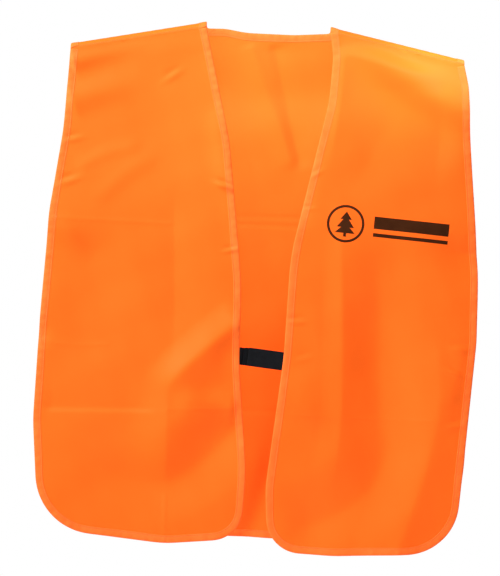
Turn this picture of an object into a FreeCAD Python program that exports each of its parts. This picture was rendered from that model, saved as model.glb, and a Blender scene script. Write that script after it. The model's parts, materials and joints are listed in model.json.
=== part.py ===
"""Blaze orange hunting vest: sleeveless, V neck, open sides, hook and loop front closure.

The vest hangs upright. X runs towards the wearer's left, the front faces -Y and Z is up.
The origin lies between the two neck points, at the top of the shoulder folds.
Every cloth piece is a thin layer at a depth from the cloth's middle, positive outwards.
"""
import FreeCAD
import Part
import math
import os

from FreeCAD import Vector

# Cloth, binding tape and thread
CLOTH = 0.5  # thickness of the woven polyester
CLOTH_HALF = CLOTH / 2
TAPE_WIDTH = 10.0  # folded binding, as seen from either side
TAPE_HALF = 0.75  # half the thickness of tape, cloth and tape together
TAPE_LIP = 0.6  # how far the tape's fold stands past the cloth's edge
THREAD = 0.7  # width of a stitch line
THREAD_PROUD = 0.3  # how far a stitch line stands off what it is sewn to
STITCH_INSET = 7.6  # from the binding's fold to its stitch line

# Shoulders
NECK_X = 86.0  # neck point, from the centre line
TIP_X = 273.0  # shoulder tip
SHOULDER_DROP = 36.6  # tip below neck point
FOLD_RADIUS = 7.75  # shoulder fold, to the cloth's middle
FOLD_TOP = 8.0  # shoulder fold, to its outer face
SEAM_GAP = 0.4  # between the shoulder fold and the front's upper edge
SEAM_THREAD_RISE = 1.0  # the seam's thread above the seam

# How front and back stand apart below the shoulders
LEAN_START = -46.0  # height where the panels begin to lean outwards
LEAN_DEG = 1.5

# Lines where the fronts fold open: down from the neck edge towards the lower side corner
OPEN_TOP_Z = -60.0
OPEN_LEFT_X = 89.0
OPEN_RIGHT_X = -73.0
OPEN_SLOPE = 0.272  # sideways per unit of height
OPEN_GAP = 0.8

# Hook and loop closure: one inch webbing across the front opening
TAB_X = 15.0
TAB_Z = -463.4
TAB_TILT_DEG = 5.3
TAB_WIDTH = 25.4
TAB_THICK = 1.0
PATCH_WIDTH = 24.0
PATCH_THICK = 1.0
PATCH_INSET = 1.0  # from a tab's tip to its patch
TAB_GAP = 0.3
HOOK_FLEX_U = 20.5  # where the hook tab bends, along the tab from its middle
HOOK_PATCH_U = 12.5  # where the hooks end, short of the bend
HOOK_TIP_U = -24.0
HOOK_SEWN_U = 38.0
LOOP_FLEX_U = -34.5
LOOP_STEP = 5.0  # length over which the loop tab steps back behind the hooks
LOOP_TIP_U = 13.0
LOOP_SEWN_U = -50.0
BOX_NEAR = 2.0  # box of stitches, from the sewn end to its near side
BOX_FAR = 9.0  # and to its far side
BOX_EDGE = 3.0  # from the webbing's edge to the box

# Elastic side straps
STRAP_Z = -443.0
STRAP_WIDTH = 25.0
STRAP_THICK = 1.2
STRAP_DEPTH = 72.0  # from the strap's mouth to where its two sides would meet
STRAP_TIP_RADIUS = 5.0  # the round that ends it about 55 mm in
STRAP_HALF_OPEN = 16.6  # half its mouth, front to back
STRAP_EDGE_X = {"left": 303.0, "right": -297.5}
TACK_WIDTH = 1.5
TACK_INSET = 3.0
TACK_SHORT = 1.5  # from the strap's edge to the end of a tack
FRONT_TACK_EDGES = [(1, 305.0), (-1, -298.5)]  # hand and x of the cloth's edge there
BACK_TACK_EDGES = [(1, 303.5), (-1, -299.5)]

# Chest print on the wearer's left: a round badge and two bars
PRINT_THICK = 0.2
PRINT_TILT_DEG = 3.6
BADGE_X = 118.0
BADGE_Z = -272.0
BADGE_RADIUS = 26.0
BADGE_RING = 3.5
BARS_X = 209.0
BARS_Z = -277.5
BAR_LENGTH = 104.0
WIDE_BAR = 17.0
THIN_BAR = 5.0
BAR_SPACE = 6.0

# Limits well outside the vest, for cutting
FAR = 400.0
ABOVE = 40.0
BELOW = -900.0
OUT = 150.0
PAST = 1.0  # how far a cutting piece stands past what it cuts

FRONT = -1
BACK = 1

SHOULDER_SLOPE = SHOULDER_DROP / (TIP_X - NECK_X)
SHOULDER_DEG = math.degrees(math.atan(SHOULDER_SLOPE))
NECK_SEAM_Z = -FOLD_TOP / math.cos(math.radians(SHOULDER_DEG))
LEAN_TAN = math.tan(math.radians(LEAN_DEG))


def seam_z(x):
    """Height of the shoulder seam, level between the neck points."""
    return NECK_SEAM_Z - SHOULDER_SLOPE * max(abs(x) - NECK_X, 0.0)


TIP_SEAM_Z = seam_z(TIP_X)

# Outlines seen from the front: (x, z, corner radius), carried up past the shoulder seams
RIGHT_FRONT = [
    (-NECK_X, ABOVE, 0),
    (-NECK_X, NECK_SEAM_Z, 0),
    (-47, -165, 350),
    (-22, -360, 600),
    (-20.5, -470, 250),
    (-4.5, -620, 250),
    (-8, -712, 44),
    (-113, -723, 150),
    (-288, -708, 84),
    (-301.5, -560, 200),
    (-298, -420, 600),
    (-291.5, -268, 200),
    (-278, -160, 300),
    (-TIP_X, TIP_SEAM_Z, 0),
    (-TIP_X, ABOVE, 0),
]
LEFT_FRONT = [
    (NECK_X, ABOVE, 0),
    (NECK_X, NECK_SEAM_Z, 0),
    (91, -42, 60),
    (88, -105, 200),
    (44, -320, 300),
    (40.5, -460, 400),
    (23, -640, 150),
    (29, -728, 48),
    (120, -730.5, 200),
    (286, -720, 74),
    (305.5, -430, 200),
    (304, -330, 300),
    (283, -125, 300),
    (280, -74, 60),
    (TIP_X, TIP_SEAM_Z, 0),
    (TIP_X, ABOVE, 0),
]
BACK_OUTLINE = [
    (NECK_X, ABOVE, 0),
    (TIP_X, ABOVE, 0),
    (TIP_X, TIP_SEAM_Z, 0),
    (281, -120, 400),
    (303, -330, 400),
    (304, -450, 300),
    (300, -600, 300),
    (290, -717, 75),
    (-294, -713, 90),
    (-303.5, -560, 200),
    (-299, -430, 500),
    (-291, -268, 200),
    (-278, -160, 300),
    (-TIP_X, TIP_SEAM_Z, 0),
    (-TIP_X, ABOVE, 0),
    (-NECK_X, ABOVE, 0),
    (-NECK_X, NECK_SEAM_Z, 0),
    (-60, -7.4, 60),
    (-30, -12, 120),
    (36, -12.2, 150),
    (NECK_X, NECK_SEAM_Z, 0),
]
TREE = [(0, 17), (-8, 6), (-4, 6), (-12, -5), (-6, -5), (-14, -13), (-2, -13), (-2, -18)]


def rounded_face(corners):
    """A flat face in the XZ plane from (x, z, radius) corners, with tangent arcs."""
    count = len(corners)
    points = [Vector(x, 0, z) for x, z, _ in corners]
    rounds = []
    for i in range(count):
        here = points[i]
        radius = corners[i][2]
        before = (points[i - 1] - here).normalize()
        after = (points[(i + 1) % count] - here).normalize()
        if radius == 0:
            rounds.append((here, None, here))
            continue
        half = before.getAngle(after) / 2
        reach = radius / math.tan(half)
        centre = here + (before + after).normalize() * (radius / math.sin(half))
        middle = centre + (here - centre).normalize() * radius
        rounds.append((here + before * reach, middle, here + after * reach))
    edges = []
    for i in range(count):
        start, middle, end = rounds[i]
        if middle is not None:
            edges.append(Part.Arc(start, middle, end).toShape())
        edges.append(Part.makeLine(end, rounds[(i + 1) % count][0]))
    return Part.Face(Part.Wire(edges))


def polygon_face(points):
    """A flat face in the XZ plane with sharp corners."""
    return rounded_face([(x, z, 0) for x, z in points])


def rectangle(x0, z0, x1, z1):
    return polygon_face([(x0, z0), (x1, z0), (x1, z1), (x0, z1)])


def circle_face(radius, normal):
    return Part.Face(Part.Wire(Part.makeCircle(radius, Vector(0, 0, 0), normal)))


def inset(face, distance):
    return face.makeOffset2D(-distance)


def flat_depth(side, depth, z):
    """Y of a flat layer at a height."""
    lean = max(LEAN_START - z, 0.0) * LEAN_TAN
    return side * (FOLD_RADIUS + depth + lean)


def layer(side, inner, outer):
    """The front's or back's whole sheet of space between two depths."""
    heights = [ABOVE, LEAN_START, BELOW]
    points = [Vector(-FAR, flat_depth(side, inner, z), z) for z in heights]
    points += [Vector(-FAR, flat_depth(side, outer, z), z) for z in reversed(heights)]
    section = Part.Face(Part.makePolygon(points + points[:1]))
    return section.extrude(Vector(2 * FAR, 0, 0))


def plate(face, side, inner, outer):
    """A layer of the front or back with the outline of a face."""
    prism = face.extrude(Vector(0, side * OUT, 0))
    return prism.common(layer(side, inner, outer))


def below_seam(gap):
    """The part of the XZ plane under the shoulder seams."""
    return polygon_face([
        (-FAR, BELOW),
        (FAR, BELOW),
        (FAR, seam_z(FAR) - gap),
        (NECK_X, seam_z(NECK_X) - gap),
        (-NECK_X, seam_z(NECK_X) - gap),
        (-FAR, seam_z(FAR) - gap),
    ])


def open_x(hand, z):
    """X of the line where a front folds open; hand is 1 on the wearer's left."""
    top = OPEN_LEFT_X if hand > 0 else OPEN_RIGHT_X
    return top + hand * OPEN_SLOPE * (OPEN_TOP_Z - z)


def flap_region(hand, gap):
    """The centre side of the line where a front folds open."""
    return polygon_face([
        (open_x(hand, OPEN_TOP_Z) - hand * gap, OPEN_TOP_Z - gap),
        (open_x(hand, BELOW) - hand * gap, BELOW),
        (-hand * NECK_X, BELOW),
        (-hand * NECK_X, OPEN_TOP_Z - gap),
    ])


def shoulder_layer(hand, inner, outer, x_near, x_far):
    """A half tube over the shoulder between two depths, cut off upright at both ends."""
    reach = TIP_X * 1.2
    radius_out = FOLD_RADIUS + outer
    radius_in = FOLD_RADIUS + inner
    along = Vector(1, 0, 0)
    ring = circle_face(radius_out, along).cut(circle_face(radius_in, along))
    tube = ring.extrude(Vector(reach, 0, 0))
    tube.translate(Vector(-reach / 4, 0, 0))
    upper = Part.makeBox(2 * reach, 4 * FOLD_RADIUS, 2 * FOLD_RADIUS)
    upper.translate(Vector(-reach, -2 * FOLD_RADIUS, 0))
    half = tube.common(upper)
    half.rotate(Vector(0, 0, 0), Vector(0, 1, 0), SHOULDER_DEG)
    half.translate(Vector(NECK_X, 0, NECK_SEAM_Z))
    trim = Part.makeBox(x_far - x_near, 4 * FOLD_RADIUS, 4 * TIP_X)
    trim.translate(Vector(x_near, -2 * FOLD_RADIUS, -2 * TIP_X))
    half = half.common(trim)
    if hand < 0:
        half = half.mirror(Vector(0, 0, 0), Vector(1, 0, 0))
    return half


def on_front(shape, x, z, tilt):
    """Moves a piece drawn flat at the origin to its place on the front."""
    origin = Vector(0, 0, 0)
    shape.rotate(origin, Vector(0, 1, 0), tilt)
    shape.rotate(origin, Vector(-1, 0, 0), LEAN_DEG)
    shape.translate(Vector(x, flat_depth(FRONT, 0, z), z))
    return shape


def solids_of(shape):
    """The shape's solids, as one solid or a group."""
    solids = shape.removeSplitter().Solids
    if len(solids) == 1:
        return solids[0]
    return Part.makeCompound(solids)


def save(shape, name):
    shape = solids_of(shape)
    shape.exportStep("parts/" + name + ".step")
    box = shape.BoundBox
    print(name, len(shape.Solids), "solid(s)", round(shape.Volume), "mm3 valid", shape.isValid(),
          "z", round(box.ZMin, 1), round(box.ZMax, 1))


def stitch_line(face):
    """The narrow closed band of a binding's stitches."""
    return inset(face, STITCH_INSET).cut(inset(face, STITCH_INSET + THREAD))


def build_back():
    """Back panel, shoulder folds and the tape and thread that ride on them."""
    whole = rounded_face(BACK_OUTLINE)
    under = below_seam(0)
    panel = plate(inset(whole, TAPE_LIP).common(under), BACK, -CLOTH_HALF, CLOTH_HALF)
    save(panel, "back_panel")
    folds = []
    for hand, side_name in ((1, "left"), (-1, "right")):
        fold = shoulder_layer(hand, -CLOTH_HALF, CLOTH_HALF, NECK_X + TAPE_LIP, TIP_X - TAPE_LIP)
        save(fold, side_name + "_shoulder_fold")
        folds.append(fold)
        save(shoulder_seam_thread(hand), side_name + "_shoulder_seam_thread")

    neck_window = rectangle(-NECK_X - 2 * TAPE_WIDTH, 2 * TIP_SEAM_Z, NECK_X + 2 * TAPE_WIDTH, ABOVE)
    band = whole.cut(inset(whole, TAPE_WIDTH)).common(under)
    thread = stitch_line(whole).common(under)
    tape_ends = {
        "neck": (NECK_X, NECK_X + TAPE_WIDTH),
        "outer": (TIP_X - TAPE_WIDTH, TIP_X),
    }
    thread_ends = {
        "neck": (NECK_X + STITCH_INSET, NECK_X + STITCH_INSET + THREAD),
        "outer": (TIP_X - STITCH_INSET - THREAD, TIP_X - STITCH_INSET),
    }
    for name, pick in (("neck", band.common(neck_window)), ("outer", band.cut(neck_window))):
        tape = plate(pick, BACK, -TAPE_HALF, TAPE_HALF)
        for hand in (1, -1):
            tape = tape.fuse(shoulder_layer(hand, -TAPE_HALF, TAPE_HALF, *tape_ends[name]))
        save(tape.cut(panel).cut(folds[0]).cut(folds[1]), "back_" + name + "_binding")
    thread_top = TAPE_HALF + THREAD_PROUD
    for name, pick in (("neck", thread.common(neck_window)), ("outer", thread.cut(neck_window))):
        run = plate(pick, BACK, TAPE_HALF, thread_top)
        for hand in (1, -1):
            run = run.fuse(shoulder_layer(hand, TAPE_HALF, thread_top, *thread_ends[name]))
        save(run, "back_" + name + "_binding_thread")


def shoulder_seam_thread(hand):
    """The stitch line just above a shoulder seam, on the front of the fold."""
    near = NECK_X + TAPE_WIDTH + THREAD
    far = TIP_X - TAPE_WIDTH - THREAD
    low = SEAM_THREAD_RISE
    high = SEAM_THREAD_RISE + THREAD
    strip = polygon_face([
        (hand * near, seam_z(near) + low),
        (hand * far, seam_z(far) + low),
        (hand * far, seam_z(far) + high),
        (hand * near, seam_z(near) + high),
    ])
    ridge = shoulder_layer(hand, CLOTH_HALF, CLOTH_HALF + THREAD_PROUD, near, far)
    return ridge.common(strip.extrude(Vector(0, FRONT * OUT, 0)))


def build_front(hand, corners, side_name):
    """One front: panel, binding and thread, each split where the front folds open."""
    whole = rounded_face(corners)
    under = below_seam(SEAM_GAP)
    flap = flap_region(hand, OPEN_GAP / 2)
    flap_with_gap = flap_region(hand, -OPEN_GAP / 2)
    cloth = inset(whole, TAPE_LIP).common(under)
    band = whole.cut(inset(whole, TAPE_WIDTH)).common(under)
    thread = stitch_line(whole).common(under)
    panel = plate(cloth, FRONT, -CLOTH_HALF, CLOTH_HALF)
    thread_top = TAPE_HALF + THREAD_PROUD
    save(plate(cloth.common(flap), FRONT, -CLOTH_HALF, CLOTH_HALF), side_name + "_front_flap")
    save(plate(cloth.cut(flap_with_gap), FRONT, -CLOTH_HALF, CLOTH_HALF), side_name + "_front_side_panel")
    edge_tape = plate(band.common(flap), FRONT, -TAPE_HALF, TAPE_HALF).cut(panel)
    save(edge_tape, side_name + "_front_edge_binding")
    side_tape = plate(band.cut(flap_with_gap), FRONT, -TAPE_HALF, TAPE_HALF).cut(panel)
    save(side_tape, side_name + "_front_side_binding")
    save(plate(thread.common(flap), FRONT, TAPE_HALF, thread_top), side_name + "_front_edge_thread")
    save(plate(thread.cut(flap_with_gap), FRONT, TAPE_HALF, thread_top), side_name + "_front_side_thread")


def tab_piece(u0, u1, inner, outer, width):
    """A flat box along the tab, between two depths, drawn at the origin."""
    box = Part.makeBox(u1 - u0, outer - inner, width)
    box.translate(Vector(u0, -outer, -width / 2))
    return box


def place_tab(shape):
    return on_front(shape, TAB_X, TAB_Z, TAB_TILT_DEG)


def stitched_box(u0, u1, face_depth):
    """A rectangle of stitches that stands off a tab's inner face."""
    deep = face_depth - THREAD_PROUD
    width = TAB_WIDTH - 2 * BOX_EDGE
    ring = tab_piece(u0, u1, deep, face_depth, width)
    hole = tab_piece(u0 + THREAD, u1 - THREAD, deep - PAST, face_depth + PAST, width - 2 * THREAD)
    return ring.cut(hole)


def build_hook_tab():
    """The wearer's left tab: sewn behind the binding, hooks on its inner face."""
    outer = -TAPE_HALF
    inner = outer - TAB_THICK
    sewn = tab_piece(HOOK_FLEX_U + TAB_GAP, HOOK_SEWN_U, inner, outer, TAB_WIDTH)
    free = tab_piece(HOOK_TIP_U, HOOK_FLEX_U - TAB_GAP, inner, outer, TAB_WIDTH)
    patch_u = HOOK_TIP_U + PATCH_INSET
    patch = tab_piece(patch_u, HOOK_PATCH_U, inner - PATCH_THICK, inner, PATCH_WIDTH)
    box = stitched_box(HOOK_SEWN_U - BOX_FAR, HOOK_SEWN_U - BOX_NEAR, inner)
    save(place_tab(sewn), "hook_tab_sewn_end")
    save(place_tab(free), "hook_tab_free_end")
    save(place_tab(patch), "hook_patch")
    save(place_tab(box), "hook_tab_stitching")


def build_loop_tab():
    """The wearer's right tab: steps back behind the hook tab, loops on its outer face."""
    sewn_outer = -TAPE_HALF
    sewn_inner = sewn_outer - TAB_THICK
    patch_outer = sewn_inner - PATCH_THICK - TAB_GAP
    free_outer = patch_outer - PATCH_THICK
    free_inner = free_outer - TAB_THICK
    start = LOOP_FLEX_U + TAB_GAP
    stepped = start + LOOP_STEP
    profile = [
        (start, sewn_outer),
        (stepped, free_outer),
        (LOOP_TIP_U, free_outer),
        (LOOP_TIP_U, free_inner),
        (stepped - TAB_THICK, free_inner),
        (start, sewn_inner),
    ]
    points = [Vector(u, -depth, -TAB_WIDTH / 2) for u, depth in profile]
    free = Part.Face(Part.makePolygon(points + points[:1])).extrude(Vector(0, 0, TAB_WIDTH))
    sewn = tab_piece(LOOP_SEWN_U, LOOP_FLEX_U - TAB_GAP, sewn_inner, sewn_outer, TAB_WIDTH)
    patch_u = LOOP_TIP_U - PATCH_INSET
    patch = tab_piece(stepped, patch_u, free_outer, patch_outer, PATCH_WIDTH)
    box = stitched_box(LOOP_SEWN_U + BOX_NEAR, LOOP_SEWN_U + BOX_FAR, sewn_inner)
    save(place_tab(sewn), "loop_tab_sewn_end")
    save(place_tab(free), "loop_tab_free_end")
    save(place_tab(patch), "loop_patch")
    save(place_tab(box), "loop_tab_stitching")


def build_side_strap(hand, side_name):
    """An elastic strap folded in between front and back, as a V with a round tip."""
    edge_x = STRAP_EDGE_X[side_name]
    tip_x = edge_x - hand * STRAP_DEPTH
    mouth_x = edge_x + hand * STRAP_DEPTH
    mouth_half = STRAP_HALF_OPEN * 2
    wedge = rounded_face([
        (mouth_x, -mouth_half, 0),
        (tip_x, 0, STRAP_TIP_RADIUS),
        (mouth_x, mouth_half, 0),
    ])
    band = wedge.cut(inset(wedge, STRAP_THICK))
    keep = rectangle(tip_x, -mouth_half, edge_x, mouth_half)
    strap = band.common(keep).extrude(Vector(0, STRAP_WIDTH, 0))
    strap.rotate(Vector(0, 0, 0), Vector(1, 0, 0), 90)
    strap.translate(Vector(0, 0, STRAP_Z - STRAP_WIDTH / 2))
    save(strap, side_name + "_side_strap")


def build_strap_tacks(side, edges, name):
    """Bar tacks that hold the straps, on the outer face of the side bindings."""
    tacks = []
    for hand, edge_x in edges:
        near = edge_x - hand * TACK_INSET
        far = near - hand * TACK_WIDTH
        half = STRAP_WIDTH / 2 - TACK_SHORT
        tacks.append(plate(rectangle(near, STRAP_Z - half, far, STRAP_Z + half),
                           side, TAPE_HALF, TAPE_HALF + THREAD_PROUD))
    save(Part.makeCompound(tacks), name)


def printed(face, x, z):
    """A print on the front's outer face, from a face drawn at the origin."""
    face.rotate(Vector(0, 0, 0), Vector(0, 1, 0), PRINT_TILT_DEG)
    face.translate(Vector(x, 0, z))
    return plate(face, FRONT, CLOTH_HALF, CLOTH_HALF + PRINT_THICK)


def build_chest_print():
    """A ring with a plain tree in it, and a wide and a thin bar beside it."""
    facing = Vector(0, 1, 0)
    ring = circle_face(BADGE_RADIUS, facing).cut(circle_face(BADGE_RADIUS - BADGE_RING, facing))
    tree = polygon_face(TREE + [(-x, z) for x, z in reversed(TREE[1:])])
    badge = [printed(ring, BADGE_X, BADGE_Z), printed(tree, BADGE_X, BADGE_Z)]
    save(Part.makeCompound(badge), "chest_print_badge")
    half = BAR_LENGTH / 2
    total = WIDE_BAR + BAR_SPACE + THIN_BAR
    wide = rectangle(-half, total / 2 - WIDE_BAR, half, total / 2)
    thin = rectangle(-half, -total / 2, half, THIN_BAR - total / 2)
    bars = [printed(wide, BARS_X, BARS_Z), printed(thin, BARS_X, BARS_Z)]
    save(Part.makeCompound(bars), "chest_print_bars")


def main():
    os.makedirs("parts", exist_ok=True)
    build_back()
    build_front(1, LEFT_FRONT, "left")
    build_front(-1, RIGHT_FRONT, "right")
    build_hook_tab()
    build_loop_tab()
    build_side_strap(1, "left")
    build_side_strap(-1, "right")
    build_strap_tacks(FRONT, FRONT_TACK_EDGES, "strap_front_tacks")
    build_strap_tacks(BACK, BACK_TACK_EDGES, "strap_back_tacks")
    build_chest_print()


main()
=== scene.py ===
"""Looks of the blaze orange vest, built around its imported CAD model.

Cloth is drawn flat, in millimetres, and then hung: a point of a sheet is (x, v), where v is
the height, and above a shoulder seam it runs on over the shoulder fold. A sheet's relief is
how far its folds stand out from the CAD layer. Tape, stitches and prints follow that relief.
"""
import json
import math

import bmesh
import bpy
import numpy as np
from mathutils import Matrix, Vector
from mathutils.geometry import delaunay_2d_cdt


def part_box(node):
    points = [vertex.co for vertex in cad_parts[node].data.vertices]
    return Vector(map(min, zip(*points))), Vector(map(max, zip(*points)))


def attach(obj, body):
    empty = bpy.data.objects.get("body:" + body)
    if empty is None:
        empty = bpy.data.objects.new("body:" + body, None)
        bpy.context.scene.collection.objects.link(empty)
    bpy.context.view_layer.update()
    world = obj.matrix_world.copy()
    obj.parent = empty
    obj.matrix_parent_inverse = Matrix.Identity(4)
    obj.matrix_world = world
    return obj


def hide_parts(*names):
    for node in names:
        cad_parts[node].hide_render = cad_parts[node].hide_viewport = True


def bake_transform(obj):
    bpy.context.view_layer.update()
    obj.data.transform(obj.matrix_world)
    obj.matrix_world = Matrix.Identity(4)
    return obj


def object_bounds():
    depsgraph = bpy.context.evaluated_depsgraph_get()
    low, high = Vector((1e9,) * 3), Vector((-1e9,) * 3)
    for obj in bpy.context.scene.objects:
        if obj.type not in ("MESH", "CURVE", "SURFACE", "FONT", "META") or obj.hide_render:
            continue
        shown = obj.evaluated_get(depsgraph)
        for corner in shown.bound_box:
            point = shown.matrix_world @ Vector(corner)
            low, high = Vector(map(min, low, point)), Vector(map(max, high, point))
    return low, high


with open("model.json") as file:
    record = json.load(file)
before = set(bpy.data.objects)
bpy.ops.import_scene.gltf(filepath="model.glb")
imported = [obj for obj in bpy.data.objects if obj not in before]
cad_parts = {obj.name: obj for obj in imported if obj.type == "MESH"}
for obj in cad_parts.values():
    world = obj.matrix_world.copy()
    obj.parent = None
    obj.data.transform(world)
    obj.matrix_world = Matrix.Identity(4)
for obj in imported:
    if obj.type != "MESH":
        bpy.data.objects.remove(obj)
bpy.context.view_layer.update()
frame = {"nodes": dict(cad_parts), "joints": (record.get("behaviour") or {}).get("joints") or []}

MM = 0.001
FRONT = -1
BACK = 1

# Cloth, tape and thread, in millimetres
CLOTH_HALF = 0.25
TAPE_WIDTH = 10.0
STITCH_INSET = 8.0
STITCH_LENGTH = 2.3
STITCH_PITCH = 3.1
EDGE_STEP = 3.0
EDGE_EASING = 3
FRONT_STEP = 2.6
BACK_STEP = 3.1
TAPE_STEP = 1.6


# --- outlines from the frame

def node_points(node):
    mesh = frame["nodes"][node].data
    points = np.empty(len(mesh.vertices) * 3)
    mesh.vertices.foreach_get("co", points)
    return points.reshape(-1, 3) / MM


def node_loops(node, side):
    """The outlines, in x and z, of the face of a flat node that looks to the front or back."""
    mesh = frame["nodes"][node].data
    points = np.round(node_points(node), 3)
    merged, index = np.unique(points, axis=0, return_inverse=True)
    index = index.ravel()
    edges = {}
    for face in mesh.polygons:
        if face.normal.y * side < 0.9:
            continue
        ring = [int(index[v]) for v in face.vertices]
        for a, b in zip(ring, ring[1:] + ring[:1]):
            if (b, a) in edges:
                del edges[(b, a)]
            else:
                edges[(a, b)] = True
    follow = {a: b for a, b in edges}
    loops = []
    while follow:
        start, here = follow.popitem()
        loop = [start]
        while here != start:
            loop.append(here)
            here = follow.pop(here)
        loops.append(merged[loop][:, [0, 2]])
    return sorted(loops, key=lambda loop: -np.ptp(loop[:, 0]))


def side_outline(node, side):
    """The longest of a flat node's outlines."""
    return max(node_loops(node, side), key=len)


def joint(name):
    return next(j for j in frame["joints"] if j["name"] == name)


def fold_line(name):
    """A point on a front's fold line and its downward direction, in x and z."""
    found = joint(name)
    point = np.array([found["pos_m"][0], found["pos_m"][2]]) / MM
    along = np.array([found["axis"][0], found["axis"][2]])
    along *= -np.sign(along[1]) / np.linalg.norm(along)
    return point, along


# Points of an outline this near to a fold line count as on it
ON_LINE = 1.2


def opened_at(loop, point, along):
    """A closed outline as an open run, without the points on a line."""
    offset = loop - point
    away = np.abs(offset[:, 0] * along[1] - offset[:, 1] * along[0])
    on_line = away < ON_LINE
    start = np.where(on_line & ~np.roll(on_line, -1))[0][0] + 1
    loop = np.roll(loop, -start, axis=0)
    on_line = np.roll(on_line, -start)
    return loop[~on_line]


def joined_front(hand_name):
    """The outline of one whole front, from its side panel and its flap."""
    point, along = fold_line(hand_name + "_front_open")
    flap = opened_at(side_outline(hand_name + "_front_flap", FRONT), point, along)
    panel = opened_at(side_outline(hand_name + "_front_side_panel", FRONT), point, along)
    near, far = np.linalg.norm(panel[[0, -1]] - flap[-1], axis=1)
    if near > far:
        panel = panel[::-1]
    return np.vstack([flap, panel])


# A slope between those of the neckline and the shoulder seam, and how far a seam can drop
SEAM_LEAN = 0.1
SEAM_DROP = 40.0


def seam_corners(loop, hand):
    """The outline's points at the neck end and the tip end of a shoulder seam."""
    own = np.where(loop[:, 0] * hand > 0)[0]
    neck = own[np.argmax(loop[own, 1] + SEAM_LEAN * np.abs(loop[own, 0]))]
    high = own[loop[own, 1] > loop[neck, 1] - SEAM_DROP]
    tip = high[np.argmax(loop[high, 0] * hand)]
    return int(neck), int(tip)


def run_between(loop, start, end, through_low):
    """The outline's run from one point to another, by the way that passes the lower points."""
    count = len(loop)
    forward = np.roll(loop, -start, axis=0)[: (end - start) % count + 1]
    backward = np.roll(loop[::-1], start + 1 - count, axis=0)[: (start - end) % count + 1]
    ways = sorted((forward, backward), key=lambda run: run[:, 1].min())
    return ways[0] if through_low else ways[1]


def lengths_along(run):
    steps = np.linalg.norm(np.diff(run, axis=0), axis=1)
    return np.concatenate([[0.0], np.cumsum(steps)])


def evenly(run, step):
    """A run of points again, with points about a step apart."""
    along = lengths_along(run)
    at = np.linspace(0, along[-1], max(2, int(round(along[-1] / step)) + 1))
    return np.stack([np.interp(at, along, run[:, k]) for k in range(run.shape[1])], axis=1)


def eased(run, passes):
    """A run with its small corners eased and its ends kept."""
    run = run.copy()
    for _ in range(passes):
        run[1:-1] = (run[:-2] + 2 * run[1:-1] + run[2:]) / 4
    return run


BACK_LOOP = side_outline("back_panel", BACK)
HANDS = {"left": 1, "right": -1}

NECK_CORNER, TIP_CORNER = (BACK_LOOP[i] for i in seam_corners(BACK_LOOP, 1))
SEAM_SLOPE = (NECK_CORNER[1] - TIP_CORNER[1]) / (TIP_CORNER[0] - NECK_CORNER[0])
FOLD_COS = math.cos(math.atan(SEAM_SLOPE))
FOLD_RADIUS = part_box("left_shoulder_fold")[1].y / MM - CLOTH_HALF
BACK_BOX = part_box("back_panel")
LEAN_START = TIP_CORNER[1] - 1.0
LEAN = (BACK_BOX[1].y / MM - FOLD_RADIUS - CLOTH_HALF) / (LEAN_START - BACK_BOX[0].z / MM)
OVER_LENGTH = math.pi * FOLD_RADIUS / FOLD_COS
OVER_FROM = NECK_CORNER[0] - 12.0


def seam_height(x):
    return NECK_CORNER[1] - SEAM_SLOPE * np.maximum(np.abs(x) - NECK_CORNER[0], 0.0)


# --- relief of the cloth

def smooth(t):
    t = np.clip(t, 0, 1)
    return t * t * (3 - 2 * t)


def from_line(x, z, points):
    """Distance from a line of points, positive on its right going down, and place along it."""
    points = np.array(points, float)
    along = lengths_along(points)
    best = np.full(np.shape(x), np.inf)
    signed = np.zeros(np.shape(x))
    place = np.zeros(np.shape(x))
    for i in range(len(points) - 1):
        a = points[i]
        d = points[i + 1] - a
        size = float(d @ d)
        t = np.clip(((x - a[0]) * d[0] + (z - a[1]) * d[1]) / size, 0, 1)
        px = x - a[0] - t * d[0]
        pz = z - a[1] - t * d[1]
        away = np.hypot(px, pz)
        turn = np.where(d[0] * pz - d[1] * px >= 0, 1.0, -1.0)
        nearer = away < best
        best = np.where(nearer, away, best)
        signed = np.where(nearer, away * turn, signed)
        place = np.where(nearer, (along[i] + t * math.sqrt(size)) / along[-1], place)
    return signed, place


def tapered(place, start, end):
    """1 along a line, falling to 0 over the given shares of its length at its two ends."""
    rise = smooth(place / start) if start else 1.0
    fall = smooth((1 - place) / end) if end else 1.0
    return rise * fall


def flowing(points, passes=3):
    """A line of points with its corners cut away and its ends kept."""
    points = np.array(points, float)
    for _ in range(passes):
        near = points[:-1] * 0.75 + points[1:] * 0.25
        far = points[:-1] * 0.25 + points[1:] * 0.75
        between = np.stack([near, far], axis=1).reshape(-1, 2)
        points = np.vstack([points[:1], between[1:-1], points[-1:]])
    return points


# How round the top of a fold is, in mm, how full its slopes are, and how wide a pressed line is
CREASED = 1.6
SOFT = 9.0
FULLNESS = 0.6
PRESSED_WIDTH = 2.4


# Each of these gives a function of x and z: how far the cloth stands out there.

def crease(points, height, width, ends=(0.2, 0.2)):
    """A rounded ridge, or a furrow where height is negative."""
    points = flowing(points)

    def at(x, z):
        away, place = from_line(x, z, points)
        return height * np.exp(-(away / width) ** 2) * tapered(place, *ends)

    return at


def fold(points, height, left, right, ends=(0.2, 0.2), edge=CREASED):
    """A sharp ridge, or a valley where height is negative, that slopes away on both sides.

    Each side has a width, or a pair of widths for the line's start and end.
    """
    points = flowing(points)
    widths = [w if isinstance(w, tuple) else (w, w) for w in (left, right)]

    def at(x, z):
        away, place = from_line(x, z, points)
        on_left, on_right = (w[0] + (w[1] - w[0]) * place for w in widths)
        soft = np.sqrt(away ** 2 + edge ** 2) - edge
        share = np.clip(soft / np.where(away > 0, on_right, on_left), 0, 1)
        profile = (1 - share) ** 2 * (1 + FULLNESS * share)
        return height * profile * tapered(place, *ends)

    return at


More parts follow.
